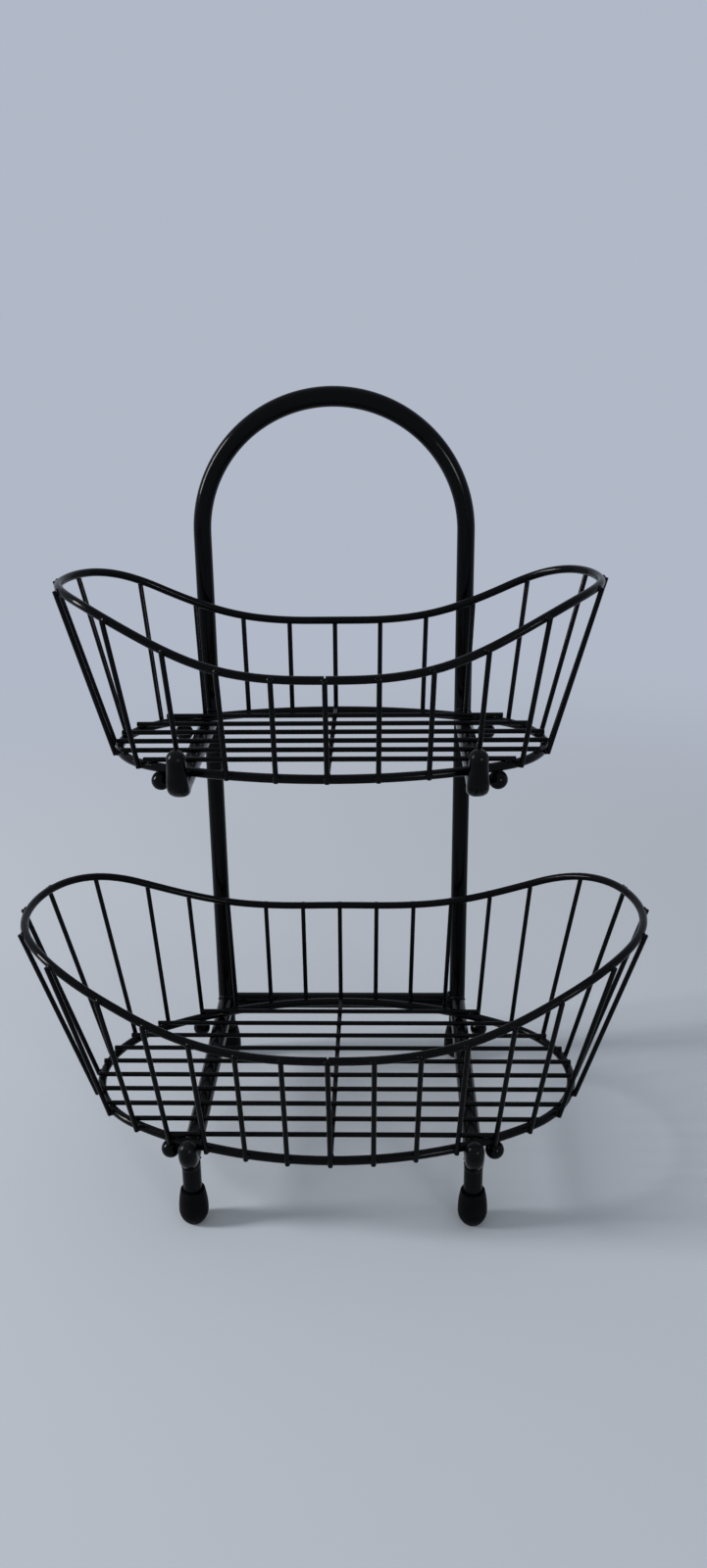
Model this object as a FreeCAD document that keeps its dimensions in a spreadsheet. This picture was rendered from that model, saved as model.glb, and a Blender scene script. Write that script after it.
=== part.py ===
import FreeCAD, Part
import Sketcher
import math
import os

# Two-tier wire basket: a hooped tube stand that carries two lift-off oval wire baskets.
# Millimetres. X runs to the right, Y to the rear and Z up, and the feet stand on Z = 0.

SIZES = {
    # stand
    "tube_dia": 10.5,
    "tube_wall": 1.2,
    "stand_width": 156,
    "stand_height": 440,
    "lower_arm_height": 42,
    "upper_arm_height": 244,
    "hook_bend_radius": 8,
    "hook_gap": 1,
    "upper_hook_rise": 19,
    "lower_hook_rise": 10,
    "plug_fit": 0.05,
    "foot_height": 21,
    "foot_floor": 5,
    "foot_wall": 1.5,
    "foot_swell": 1.5,
    "foot_swell_height": 8,
    "foot_tuck": 3.5,
    "foot_fit": 0.05,
    # wire and the way both baskets are put together
    "ring_wire_dia": 5,
    "rim_wire_dia": 4.5,
    "thin_wire_dia": 2.8,
    "weld_sink": 0.4,
    "butt_sink": 1,
    "seat_gap": 0.3,
    "ball_dia": 10.5,
    "ball_side_gap": 1.5,
    "floor_wire_inset": 1,
    "rim_seam": 0.8,
    # upper basket
    "upper_set_back": 77.7,
    "upper_ring_length": 238,
    "upper_ring_width": 123,
    "upper_rim_length": 290,
    "upper_rim_width": 134,
    "upper_rim_low": 54.5,
    "upper_rim_high": 92,
    "upper_floor_pitch": 15.8,
    # lower basket
    "lower_set_back": 100.5,
    "lower_ring_length": 280,
    "lower_ring_width": 169,
    "lower_rim_length": 350,
    "lower_rim_width": 185,
    "lower_rim_low": 67,
    "lower_rim_high": 108.5,
    "lower_floor_pitch": 14.7,
}

# The end arcs of an oval, as shares of its half width.
RING_ROUND_SHARE = 0.73
RIM_ROUND_SHARE = 0.81
# How late the rim's rise from the middle to the ends sets in.
RIM_RISE_POWER = 1.56
RIM_SPAN_COUNT = 24
# How far a hook plug's stem fills the straight end of its hook.
PLUG_STEM_SHARE = 0.9
# How far a spoke runs down past the middle of the base ring's wire and up past the middle of the rim's wire,
# as shares of that wire's radius.
SPOKE_FOOT_SHARE = 0.5
SPOKE_HEAD_SHARE = 0.1
# The spokes' pitch as a share of a quarter of the base ring: they are set out to both sides of the front
# centre and of the rear centre, and one more stands at each end.
UPPER_SPOKE_PITCH_SHARE = 0.178
LOWER_SPOKE_PITCH_SHARE = 0.127
UPPER_SIDE_SPOKE_COUNT = 5
LOWER_SIDE_SPOKE_COUNT = 7
UPPER_FLOOR_WIRE_COUNT = 6
LOWER_FLOOR_WIRE_COUNT = 10

Vector = FreeCAD.Vector
Constraint = Sketcher.Constraint
UP = Vector(0, 0, 1)
ACROSS = Vector(1, 0, 0)
REARWARD = Vector(0, 1, 0)
SIDES = {"left": -1, "right": 1}
ENDS = {"front": -1, "rear": 1}
# Lengths and directions that differ by less than this count as equal.
TOUCH = 1e-6

doc = FreeCAD.newDocument("tiered_wire_basket")


def fill_sheet(name, values):
    sheet = doc.addObject("Spreadsheet::Sheet", name)
    for row, (alias, value) in enumerate(values.items(), 1):
        sheet.set("A%d" % row, alias)
        sheet.set("B%d" % row, repr(value))
        sheet.setAlias("B%d" % row, alias)
    doc.recompute()
    return sheet


dims = fill_sheet("dims", SIZES)


def size(name):
    return float(dims.get(name))


class Oval:
    """A flat oval of four tangent arcs, centred on the origin, read from its front centre anticlockwise."""

    def __init__(self, length, width, round_share):
        self.half_length = length / 2
        self.half_width = width / 2
        self.end_radius = round_share * self.half_width
        spread = self.half_length ** 2 + self.half_width ** 2 - 2 * self.half_length * self.end_radius
        self.side_radius = spread / (2 * (self.half_width - self.end_radius))
        self.end_centre = self.half_length - self.end_radius
        self.side_centre = self.side_radius - self.half_width
        self.side_angle = math.atan2(self.end_centre, self.side_centre)
        self.side_arc = self.side_radius * self.side_angle
        self.quarter = self.side_arc + self.end_radius * (math.pi / 2 - self.side_angle)

    def at(self, share):
        """Point and outward normal at a share of the way round."""
        run = (share % 1) * 4 * self.quarter
        step, along = divmod(run, self.quarter)
        x_sign = 1 if step in (0, 1) else -1
        y_sign = 1 if step in (0, 3) else -1
        if step in (1, 3):
            along = self.quarter - along
        if along <= self.side_arc:
            turn = along / self.side_radius
            x = self.side_radius * math.sin(turn)
            y = self.side_centre - self.side_radius * math.cos(turn)
        else:
            turn = self.side_angle + (along - self.side_arc) / self.end_radius
            x = self.end_centre + self.end_radius * math.sin(turn)
            y = -self.end_radius * math.cos(turn)
        point = Vector(x_sign * x, y_sign * y, 0)
        normal = Vector(x_sign * math.sin(turn), -y_sign * math.cos(turn), 0)
        return point, normal

    def outside_by(self, point):
        """How far a point lies outside the oval, negative if it lies inside."""
        x, y = abs(point.x), abs(point.y)
        if self.end_centre * y > self.side_centre * (x - self.end_centre):
            return math.hypot(x, y + self.side_centre) - self.side_radius
        return math.hypot(x - self.end_centre, y) - self.end_radius

    def half_depth(self, x):
        """Half the oval's depth, front to rear, at a distance x from its middle."""
        if abs(x) <= self.side_radius * math.sin(self.side_angle):
            return math.sqrt(self.side_radius ** 2 - x ** 2) - self.side_centre
        return math.sqrt(self.end_radius ** 2 - (abs(x) - self.end_centre) ** 2)

    def half_chord(self, y, grow):
        """Half the oval's length at a distance y from its middle, with the outline moved out by grow."""
        if abs(y) >= self.end_radius * math.cos(self.side_angle):
            return math.sqrt((self.side_radius + grow) ** 2 - (abs(y) + self.side_centre) ** 2)
        return self.end_centre + math.sqrt((self.end_radius + grow) ** 2 - y ** 2)


class Tier:
    """The worked-out places of one basket, with the centre of its base ring as origin."""

    def __init__(self, name, spoke_pitch_share, side_spoke_count, floor_wire_count):
        self.name = name
        self.spoke_pitch_share = spoke_pitch_share
        self.side_spoke_count = side_spoke_count
        self.floor_wire_count = floor_wire_count
        self.ring = Oval(size(name + "_ring_length"), size(name + "_ring_width"), RING_ROUND_SHARE)
        self.rim = Oval(size(name + "_rim_length"), size(name + "_rim_width"), RIM_ROUND_SHARE)
        self.low = size(name + "_rim_low")
        self.high = size(name + "_rim_high")
        self.ring_height = (size(name + "_arm_height") + size("tube_dia") / 2 + size("seat_gap")
                            + size("ring_wire_dia") / 2)

    def rim_height(self, x):
        turn = math.pi * (abs(x) / self.rim.half_length) ** RIM_RISE_POWER
        return self.low + (self.high - self.low) * (1 - math.cos(turn)) / 2

    def rim_slope(self, x):
        reach = abs(x) / self.rim.half_length
        turn = math.pi * reach ** RIM_RISE_POWER
        rate = math.pi * RIM_RISE_POWER * reach ** (RIM_RISE_POWER - 1) / self.rim.half_length
        return math.copysign((self.high - self.low) / 2 * math.sin(turn) * rate, x)

    def rim_at(self, share):
        """Point on the rim's centre line and the way it runs there."""
        point, normal = self.rim.at(share)
        point.z = self.rim_height(point.x)
        along = Vector(-normal.y, normal.x, 0)
        along.z = self.rim_slope(point.x) * along.x
        return point, along.normalize()

    def bend_start(self):
        """Where an arm begins to turn up, so that its hook clears the ring and any spoke right behind it."""
        arm = size("stand_width") / 2
        ring_depth = self.ring.half_depth(arm)
        slant = (ring_depth + self.ring.side_centre) / self.ring.side_radius
        build_out = size("ring_wire_dia") / 2 + size("hook_gap") + size("tube_dia") / 2
        lean_out = 0
        if self.has_spoke_behind(arm):
            build_out += size("thin_wire_dia")
            lean = (self.rim.half_depth(arm) - ring_depth) / self.rim_height(arm)
            hook_top = size(self.name + "_arm_height") + size(self.name + "_hook_rise")
            lean_out = lean * (hook_top - self.ring_height)
        return (size(self.name + "_set_back") + ring_depth + build_out / slant + lean_out
                - size("hook_bend_radius"))

    def has_spoke_behind(self, x):
        """Whether a spoke stands behind a hook that is a distance x from the middle."""
        reach = size("tube_dia") / 2 + size("hook_gap") + size("thin_wire_dia") / 2
        return any(abs(self.spoke_ends(share)[0].x - x) < reach for share in self.spoke_shares())

    def spoke_shares(self):
        """Where the spokes stand, as shares of the way round from the front centre."""
        steps = range(-self.side_spoke_count, self.side_spoke_count + 1)
        side_shares = [step * self.spoke_pitch_share / 4 for step in steps]
        front_shares = [share % 1 for share in side_shares]
        rear_shares = [share + 1 / 2 for share in side_shares]
        return sorted(front_shares + rear_shares + [1 / 4, 3 / 4])

    def spoke_ends(self, share):
        """Both ends of the spoke at a share of the way round, welded outside the ring and outside the rim."""
        thin = size("thin_wire_dia") / 2 - size("weld_sink")
        on_ring, normal = self.ring.at(share)
        near, far = 0, self.rim.half_length
        while far - near > TOUCH:
            middle = (near + far) / 2
            if self.rim.outside_by(on_ring + normal * middle) < 0:
                near = middle
            else:
                far = middle
        foot = on_ring + normal * (size("ring_wire_dia") / 2 + thin)
        head = on_ring + normal * near
        head.z = self.rim_height(head.x)
        head = head + normal * (size("rim_wire_dia") / 2 + thin)
        way = (head - foot).normalize()
        return (foot - way * (SPOKE_FOOT_SHARE * size("ring_wire_dia") / 2),
                head + way * (SPOKE_HEAD_SHARE * size("rim_wire_dia") / 2))


tiers = {
    "upper": Tier("upper", UPPER_SPOKE_PITCH_SHARE, UPPER_SIDE_SPOKE_COUNT, UPPER_FLOOR_WIRE_COUNT),
    "lower": Tier("lower", LOWER_SPOKE_PITCH_SHARE, LOWER_SIDE_SPOKE_COUNT, LOWER_FLOOR_WIRE_COUNT),
}

# The origin lies under the middle of the overall box, so the uprights stand behind it.
front_end = tiers["lower"].spoke_ends(0)
front_lean = (front_end[1] - front_end[0]).normalize()
front_reach = size("lower_set_back") - front_end[1].y + size("thin_wire_dia") / 2 * front_lean.z
foot_radius = size("tube_dia") / 2 + size("foot_wall") + size("foot_swell")
upright_y = (front_reach - foot_radius) / 2

# A front leg stands where its arm begins to turn up.
places = fill_sheet("places", {
    "upright_y": upright_y,
    "lower_bend_start": tiers["lower"].bend_start(),
    "upper_bend_start": tiers["upper"].bend_start(),
})


def place(name):
    return float(places.get(name))


def named(sketch, constraint, name, expression):
    index = sketch.addConstraint(constraint)
    sketch.renameConstraint(index, name)
    sketch.setExpression("Constraints." + name, expression)


def new_body(label):
    body = doc.addObject("PartDesign::Body", label)
    body.Label = label
    return body


def sketch_on(body, role, name):
    sketch = body.newObject("Sketcher::SketchObject", name)
    plane = next(feature for feature in body.Origin.OriginFeatures if feature.Role == role)
    sketch.AttachmentSupport = [(plane, "")]
    sketch.MapMode = "FlatFace"
    return sketch


def join_ends(sketch, lines):
    for first, second in zip(lines, lines[1:]):
        sketch.addConstraint(Constraint("Coincident", first, 2, second, 1))


def line(sketch, start, end):
    return sketch.addGeometry(Part.LineSegment(Vector(*start, 0), Vector(*end, 0)))


def arc(sketch, centre, radius, start_turn, end_turn):
    circle = Part.Circle(Vector(*centre, 0), UP, radius)
    return sketch.addGeometry(Part.ArcOfCircle(circle, start_turn, end_turn))


def add_pipe(body, section, path, name):
    pipe = body.newObject("PartDesign::AdditivePipe", name)
    pipe.Profile = section
    pipe.Spine = path


def add_turned(body, sketch, name):
    turned = body.newObject("PartDesign::Revolution", name)
    turned.Profile = sketch
    turned.ReferenceAxis = (sketch, ["V_Axis"])


def tube_circles(sketch, centre):
    """The tube's wall as two circles about one point; gives back both for placing."""
    outer = sketch.addGeometry(Part.Circle(Vector(*centre, 0), UP, size("tube_dia") / 2))
    inner = sketch.addGeometry(Part.Circle(Vector(*centre, 0), UP, size("tube_dia") / 2 - size("tube_wall")))
    sketch.addConstraint(Constraint("Coincident", outer, 3, inner, 3))
    named(sketch, Constraint("Radius", outer, size("tube_dia") / 2), "outside", "dims.tube_dia / 2")
    named(sketch, Constraint("Radius", inner, size("tube_dia") / 2 - size("tube_wall")), "inside",
          "dims.tube_dia / 2 - dims.tube_wall")
    return outer


def cylinder(name, radius, height, base, way):
    """A round bar from base along way; radius is written in terms of the sheet's sizes."""
    bar = doc.addObject("Part::Cylinder", name)
    bar.setExpression("Radius", radius)
    bar.Height = height
    bar.Placement = FreeCAD.Placement(base, FreeCAD.Rotation(UP, way))
    return bar


def cut(label, base, tools):
    tool = tools[0]
    if len(tools) > 1:
        tool = doc.addObject("Part::MultiFuse", label + "_tool")
        tool.Shapes = tools
    result = doc.addObject("Part::Cut", label)
    result.Label = label
    result.Base = base
    result.Tool = tool
    return result


def make_handle():
    """Both uprights and the arch that joins them, bent from one tube."""
    half = size("stand_width") / 2
    end = size("foot_floor")
    springing = size("stand_height") - size("tube_dia") / 2 - half
    body = new_body("handle_tube")
    path = sketch_on(body, "XZ_Plane", "handle_path")
    left = line(path, (-half, end), (-half, springing))
    arch = arc(path, (0, springing), half, 0, math.pi)
    right = line(path, (half, springing), (half, end))
    path.addConstraint(Constraint("Tangent", left, 2, arch, 2))
    path.addConstraint(Constraint("Tangent", arch, 1, right, 1))
    path.addConstraint(Constraint("Vertical", left))
    path.addConstraint(Constraint("Vertical", right))
    path.addConstraint(Constraint("PointOnObject", arch, 3, -2))
    named(path, Constraint("Radius", arch, half), "arch_radius", "dims.stand_width / 2")
    named(path, Constraint("DistanceY", -1, 1, arch, 3, springing), "springing",
          "dims.stand_height - dims.tube_dia / 2 - dims.stand_width / 2")
    named(path, Constraint("DistanceY", -1, 1, left, 1, end), "left_end", "dims.foot_floor")
    named(path, Constraint("DistanceY", -1, 1, right, 2, end), "right_end", "dims.foot_floor")
    section = sketch_on(body, "XY_Plane", "handle_section")
    section.setExpression("AttachmentOffset.Base.z", "dims.foot_floor")
    wall = tube_circles(section, (-half, 0))
    section.addConstraint(Constraint("PointOnObject", wall, 3, -1))
    named(section, Constraint("DistanceX", wall, 3, -1, 1, half), "side", "dims.stand_width / 2")
    add_pipe(body, section, path, "handle_pipe")
    body.setExpression("Placement.Base.y", "places.upright_y")
    return body


def make_arm(tier, side, upright_core):
    """A tube forwards from an upright that turns up into a hook in front of the basket's base ring."""
    label = "%s_arm_%s" % (tier, side)
    height = size(tier + "_arm_height")
    start = place(tier + "_bend_start")
    bend = size("hook_bend_radius")
    top = height + size(tier + "_hook_rise")
    body = new_body(label + "_bent")
    path = sketch_on(body, "YZ_Plane", label + "_path")
    run = line(path, (0, height), (-start, height))
    turn = arc(path, (-start, height + bend), bend, math.pi, 3 * math.pi / 2)
    post = line(path, (-start - bend, height + bend), (-start - bend, top))
    path.addConstraint(Constraint("Tangent", run, 2, turn, 2))
    path.addConstraint(Constraint("Tangent", turn, 1, post, 1))
    path.addConstraint(Constraint("Horizontal", run))
    path.addConstraint(Constraint("Vertical", post))
    path.addConstraint(Constraint("PointOnObject", run, 1, -2))
    named(path, Constraint("Radius", turn, bend), "bend", "dims.hook_bend_radius")
    named(path, Constraint("DistanceX", run, 2, -1, 1, start), "reach", "places.%s_bend_start" % tier)
    named(path, Constraint("DistanceY", -1, 1, run, 1, height), "height", "dims.%s_arm_height" % tier)
    named(path, Constraint("DistanceY", -1, 1, post, 2, top), "top",
          "dims.%s_arm_height + dims.%s_hook_rise" % (tier, tier))
    section = sketch_on(body, "XZ_Plane", label + "_section")
    wall = tube_circles(section, (0, height))
    section.addConstraint(Constraint("PointOnObject", wall, 3, -2))
    named(section, Constraint("DistanceY", -1, 1, wall, 3, height), "height", "dims.%s_arm_height" % tier)
    add_pipe(body, section, path, label + "_pipe")
    body.setExpression("Placement.Base.x", "%d * dims.stand_width / 2" % SIDES[side])
    body.setExpression("Placement.Base.y", "places.upright_y")
    return cut(label, body, [upright_core])


def make_hook_plug(tier, side):
    """The domed plug that closes a hook's upper end, with its stem inside the tube."""
    radius = size("tube_dia") / 2
    stem = radius - size("tube_wall") - size("plug_fit")
    depth = PLUG_STEM_SHARE * (size(tier + "_hook_rise") - size("hook_bend_radius"))
    body = new_body("hook_plug_%s_%s" % (tier, side))
    outline = sketch_on(body, "XZ_Plane", "plug_outline")
    base = line(outline, (0, -depth), (stem, -depth))
    wall = line(outline, (stem, -depth), (stem, 0))
    shoulder = line(outline, (stem, 0), (radius, 0))
    dome = arc(outline, (0, 0), radius, 0, math.pi / 2)
    axis = line(outline, (0, radius), (0, -depth))
    join_ends(outline, [base, wall, shoulder, dome, axis, base])
    outline.addConstraint(Constraint("Coincident", dome, 3, -1, 1))
    outline.addConstraint(Constraint("PointOnObject", dome, 1, -1))
    outline.addConstraint(Constraint("PointOnObject", dome, 2, -2))
    outline.addConstraint(Constraint("Horizontal", base))
    outline.addConstraint(Constraint("Vertical", wall))
    outline.addConstraint(Constraint("Horizontal", shoulder))
    outline.addConstraint(Constraint("Vertical", axis))
    named(outline, Constraint("Radius", dome, radius), "dome", "dims.tube_dia / 2")
    named(outline, Constraint("DistanceX", -1, 1, wall, 1, stem), "stem",
          "dims.tube_dia / 2 - dims.tube_wall - dims.plug_fit")
    named(outline, Constraint("DistanceY", wall, 1, -1, 1, depth), "depth",
          "%r * (dims.%s_hook_rise - dims.hook_bend_radius)" % (PLUG_STEM_SHARE, tier))
    add_turned(body, outline, "plug_turned")
    body.setExpression("Placement.Base.x", "%d * dims.stand_width / 2" % SIDES[side])
    body.setExpression("Placement.Base.y",
                       "places.upright_y - places.%s_bend_start - dims.hook_bend_radius" % tier)
    body.setExpression("Placement.Base.z", "dims.%s_arm_height + dims.%s_hook_rise" % (tier, tier))
    return body


def make_foot_cap(end, side):
    """A barrel-shaped cap with a blind bore that takes the end of a tube."""
    mouth = size("tube_dia") / 2 + size("foot_wall")
    widest = foot_radius
    base = widest - size("foot_tuck")
    waist = size("foot_swell_height")
    top = size("foot_height")
    bore = size("tube_dia") / 2 + size("foot_fit")
    floor = size("foot_floor")
    lower_radius = ((widest - base) ** 2 + waist ** 2) / (2 * (widest - base))
    upper_radius = ((widest - mouth) ** 2 + (top - waist) ** 2) / (2 * (widest - mouth))
    body = new_body("foot_cap_%s_%s" % (end, side))
    outline = sketch_on(body, "XZ_Plane", "cap_outline")
    under = line(outline, (0, 0), (base, 0))
    swell = arc(outline, (widest - lower_radius, waist), lower_radius, -math.asin(waist / lower_radius), 0)
    taper = arc(outline, (widest - upper_radius, waist), upper_radius, 0,
                math.asin((top - waist) / upper_radius))
    lip = line(outline, (mouth, top), (bore, top))
    wall = line(outline, (bore, top), (bore, floor))
    seat = line(outline, (bore, floor), (0, floor))
    axis = line(outline, (0, floor), (0, 0))
    join_ends(outline, [under, swell, taper, lip, wall, seat, axis, under])
    outline.addConstraint(Constraint("Coincident", under, 1, -1, 1))
    for flat in (under, lip, seat):
        outline.addConstraint(Constraint("Horizontal", flat))
    for upright in (wall, axis):
        outline.addConstraint(Constraint("Vertical", upright))
    named(outline, Constraint("DistanceX", -1, 1, under, 2, base), "base",
          "dims.tube_dia / 2 + dims.foot_wall + dims.foot_swell - dims.foot_tuck")
    named(outline, Constraint("DistanceX", -1, 1, swell, 2, widest), "widest",
          "dims.tube_dia / 2 + dims.foot_wall + dims.foot_swell")
    named(outline, Constraint("DistanceY", -1, 1, swell, 2, waist), "waist", "dims.foot_swell_height")
    named(outline, Constraint("DistanceY", -1, 1, swell, 3, waist), "swell_level", "dims.foot_swell_height")
    named(outline, Constraint("DistanceY", -1, 1, taper, 3, waist), "taper_level", "dims.foot_swell_height")
    named(outline, Constraint("DistanceX", -1, 1, lip, 1, mouth), "mouth",
          "dims.tube_dia / 2 + dims.foot_wall")
    named(outline, Constraint("DistanceY", -1, 1, lip, 1, top), "top", "dims.foot_height")
    named(outline, Constraint("DistanceX", -1, 1, wall, 1, bore), "bore", "dims.tube_dia / 2 + dims.foot_fit")
    named(outline, Constraint("DistanceY", -1, 1, seat, 1, floor), "floor", "dims.foot_floor")
    add_turned(body, outline, "cap_turned")
    body.setExpression("Placement.Base.x", "%d * dims.stand_width / 2" % SIDES[side])
    depth = "places.upright_y - places.lower_bend_start" if end == "front" else "places.upright_y"
    body.setExpression("Placement.Base.y", depth)
    return body


def make_bend_core(side):
    """The full round of a lower arm's bend, from the end of the straight arm to the foot of the hook."""
    core = doc.addObject("Part::Torus", "bend_core_" + side)
    core.setExpression("Radius1", "dims.hook_bend_radius")
    core.setExpression("Radius2", "dims.tube_dia / 2")
    core.Angle3 = 90
    middle = Vector(SIDES[side] * size("stand_width") / 2, upright_y - place("lower_bend_start"),
                    size("lower_arm_height") + size("hook_bend_radius"))
    core.Placement = FreeCAD.Placement(middle, FreeCAD.Rotation(-UP, -REARWARD, -ACROSS, "XYZ"))
    return core


def make_stand():
    half = size("stand_width") / 2
    low = size("lower_arm_height")
    end = size("foot_floor")
    outside = "dims.tube_dia / 2"
    inside = "dims.tube_dia / 2 - dims.tube_wall"
    nodes = [make_handle()]
    # Solid cores of the uprights and of the lower arms, for fitting the tubes that are welded to them.
    upright_core = {}
    arm_core = {}
    bend_core = {}
    for side, sign in SIDES.items():
        upright_core[side] = cylinder("upright_core_" + side, outside, size("stand_height"),
                                      Vector(sign * half, upright_y, 0), UP)
        arm_core[side] = cylinder("arm_core_" + side, outside, place("lower_bend_start"),
                                  Vector(sign * half, upright_y, low), -REARWARD)
        bend_core[side] = make_bend_core(side)
    bar_start = Vector(-half, upright_y, low)
    bar = cylinder("crossbar_blank", outside, size("stand_width"), bar_start, ACROSS)
    bar_bore = cylinder("crossbar_bore", inside, size("stand_width"), bar_start, ACROSS)
    nodes.append(cut("rear_crossbar", bar, [bar_bore, *upright_core.values(), *arm_core.values()]))
    for side, sign in SIDES.items():
        for tier in tiers:
            nodes.append(make_arm(tier, side, upright_core[side]))
            nodes.append(make_hook_plug(tier, side))
        leg_foot = Vector(sign * half, upright_y - place("lower_bend_start"), end)
        leg = cylinder("leg_blank_" + side, outside, low - end, leg_foot, UP)
        leg_bore = cylinder("leg_bore_" + side, inside, low - end, leg_foot, UP)
        nodes.append(cut("front_leg_" + side, leg, [leg_bore, arm_core[side], bend_core[side]]))
        for end_name in ENDS:
            nodes.append(make_foot_cap(end_name, side))
    return nodes


def arc_between(start, along, end):
    """The arc from start to end that leaves start in the given way, and the way it arrives."""
    chord = end - start
    reach = chord.Length
    chord_way = chord / reach
    lean = along - chord_way * along.dot(chord_way)
    arrival = chord_way * (2 * along.dot(chord_way)) - along
    if lean.Length < TOUCH:
        return Part.LineSegment(start, end).toShape(), arrival
    turn = math.acos(max(-1, min(1, along.dot(chord_way))))
    middle = start + chord / 2 + lean.normalize() * (reach / 2 * math.tan(turn / 2))
    return Part.Arc(start, middle, end).toShape(), arrival


def rim_wire(tier):
    """The rim's centre line as pairs of tangent arcs, open at the butt seam."""
    around = 4 * tier.rim.quarter
    seam_share = size("rim_seam") / 2 / around
    shares = [seam_share + (1 - 2 * seam_share) * i / RIM_SPAN_COUNT for i in range(RIM_SPAN_COUNT + 1)]
    stops = [tier.rim_at(share) for share in shares]
    edges = []
    for (start, leave), (end, arrive) in zip(stops, stops[1:]):
        gap = end - start
        both = leave + arrive
        spread = 2 * (1 - leave.dot(arrive))
        pull = gap.dot(both)
        if spread < TOUCH:
            reach = gap.dot(gap) / (2 * pull)
        else:
            reach = (math.sqrt(pull ** 2 + spread * gap.dot(gap)) - pull) / spread
        middle = (start + end + (leave - arrive) * reach) / 2
        first, way = arc_between(start, leave, middle)
        second, _ = arc_between(middle, way, end)
        edges += [first, second]
    return Part.Wire(edges), stops[0]


def make_rim(tier, centre):
    """One heavy wire on a saddle-shaped line, which no flat sketch can hold."""
    path, (start, along) = rim_wire(tier)
    section = Part.Wire(Part.Circle(start, along, size("rim_wire_dia") / 2).toShape())
    rim = doc.addObject("Part::Feature", tier.name + "_rim")
    rim.Label = tier.name + "_rim"
    rim.Shape = path.makePipeShell([section], True, False)
    rim.Placement = FreeCAD.Placement(centre, FreeCAD.Rotation())
    return rim


def make_base_ring(tier, centre):
    """One heavy wire bent to a flat oval of four arcs."""
    oval = tier.ring
    side = math.degrees(oval.side_angle)
    bends = [
        ("front", oval.side_radius, Vector(0, oval.side_centre, 0), -90 - side, 2 * side),
        ("right", oval.end_radius, Vector(oval.end_centre, 0, 0), side - 90, 180 - 2 * side),
        ("rear", oval.side_radius, Vector(0, -oval.side_centre, 0), 90 - side, 2 * side),
        ("left", oval.end_radius, Vector(-oval.end_centre, 0, 0), 90 + side, 180 - 2 * side),
    ]
    pieces = []
    for name, radius, middle, start, sweep in bends:
        piece = doc.addObject("Part::Torus", "%s_ring_%s" % (tier.name, name))
        piece.Radius1 = radius
        piece.setExpression("Radius2", "dims.ring_wire_dia / 2")
        piece.Angle3 = sweep
        piece.Placement = FreeCAD.Placement(centre + middle, FreeCAD.Rotation(UP, start))
        pieces.append(piece)
    ring = doc.addObject("Part::MultiFuse", tier.name + "_base_ring")
    ring.Label = tier.name + "_base_ring"
    ring.Shapes = pieces
    return ring


def make_floor(tier, centre):
    """Thin wires across the top of the base ring, and one under them from front to rear."""
    radius = "dims.thin_wire_dia / 2"
    pitch = size(tier.name + "_floor_pitch")
    level = size("ring_wire_dia") / 2 + size("thin_wire_dia") / 2 - size("weld_sink")
    grow = size("ring_wire_dia") / 2
    nodes = []
    for number in range(tier.floor_wire_count):
        y = pitch * ((tier.floor_wire_count - 1) / 2 - number)
        half = tier.ring.half_chord(y, grow) - size("floor_wire_inset")
        wire = cylinder("%s_floor_wire_%d" % (tier.name, number + 1), radius, 2 * half,
                        centre + Vector(-half, y, level), ACROSS)
        nodes.append(wire)
    under = level - size("thin_wire_dia") + size("weld_sink")
    reach = tier.ring.half_width - size("ring_wire_dia") / 2 + size("butt_sink")
    nodes.append(cylinder(tier.name + "_centre_wire", radius, 2 * reach,
                          centre + Vector(0, -reach, under), REARWARD))
    return nodes


def make_spokes(tier, centre):
    """Thin wires from the base ring to the rim, kept as four groups of separate wires."""
    groups = {"front": [], "right": [], "rear": [], "left": []}
    names = list(groups)
    for number, share in enumerate(tier.spoke_shares(), 1):
        start, end = tier.spoke_ends(share)
        spoke = cylinder("%s_spoke_%d" % (tier.name, number), "dims.thin_wire_dia / 2",
                         (end - start).Length, centre + start, end - start)
        quarter = int(4 * share + 1 / 2) % len(names)
        groups[names[quarter]].append(spoke)
    nodes = []
    for name, spokes in groups.items():
        group = doc.addObject("Part::Compound", "%s_spokes_%s" % (tier.name, name))
        group.Label = "%s_spokes_%s" % (tier.name, name)
        group.Links = spokes
        nodes.append(group)
    return nodes


def make_ball_feet(tier, centre):
    """Balls under the base ring, each just outside an arm, which keep the basket from sliding sideways."""
    x = size("stand_width") / 2 + size("tube_dia") / 2 + size("ball_side_gap") + size("ball_dia") / 2
    y = tier.ring.half_depth(x)
    drop = size("ring_wire_dia") / 2 + size("ball_dia") / 2 - size("weld_sink")
    nodes = []
    for end, end_sign in ENDS.items():
        for side, side_sign in SIDES.items():
            ball = doc.addObject("Part::Sphere", "%s_ball_foot_%s_%s" % (tier.name, end, side))
            ball.setExpression("Radius", "dims.ball_dia / 2")
            ball.Placement = FreeCAD.Placement(centre + Vector(side_sign * x, end_sign * y, -drop),
                                               FreeCAD.Rotation())
            nodes.append(ball)
    return nodes


def make_basket(tier):
    centre = Vector(0, upright_y - size(tier.name + "_set_back"), tier.ring_height)
    return [make_rim(tier, centre), make_base_ring(tier, centre), *make_floor(tier, centre),
            *make_spokes(tier, centre), *make_ball_feet(tier, centre)]


pieces = make_stand()
for basket_tier in tiers.values():
    pieces += make_basket(basket_tier)
doc.recompute()

for item in doc.Objects:
    if "Invalid" in item.State or "Error" in item.State:
        raise RuntimeError("%s did not build: %s" % (item.Label, item.State))
for piece in pieces:
    if piece.Shape.isNull() or not piece.Shape.isValid():
        raise RuntimeError("%s has no valid shape" % piece.Label)

os.makedirs("parts", exist_ok=True)
for piece in pieces:
    piece.Shape.exportStep("parts/%s.step" % piece.Label)
print(len(pieces), "pieces written")
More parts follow.
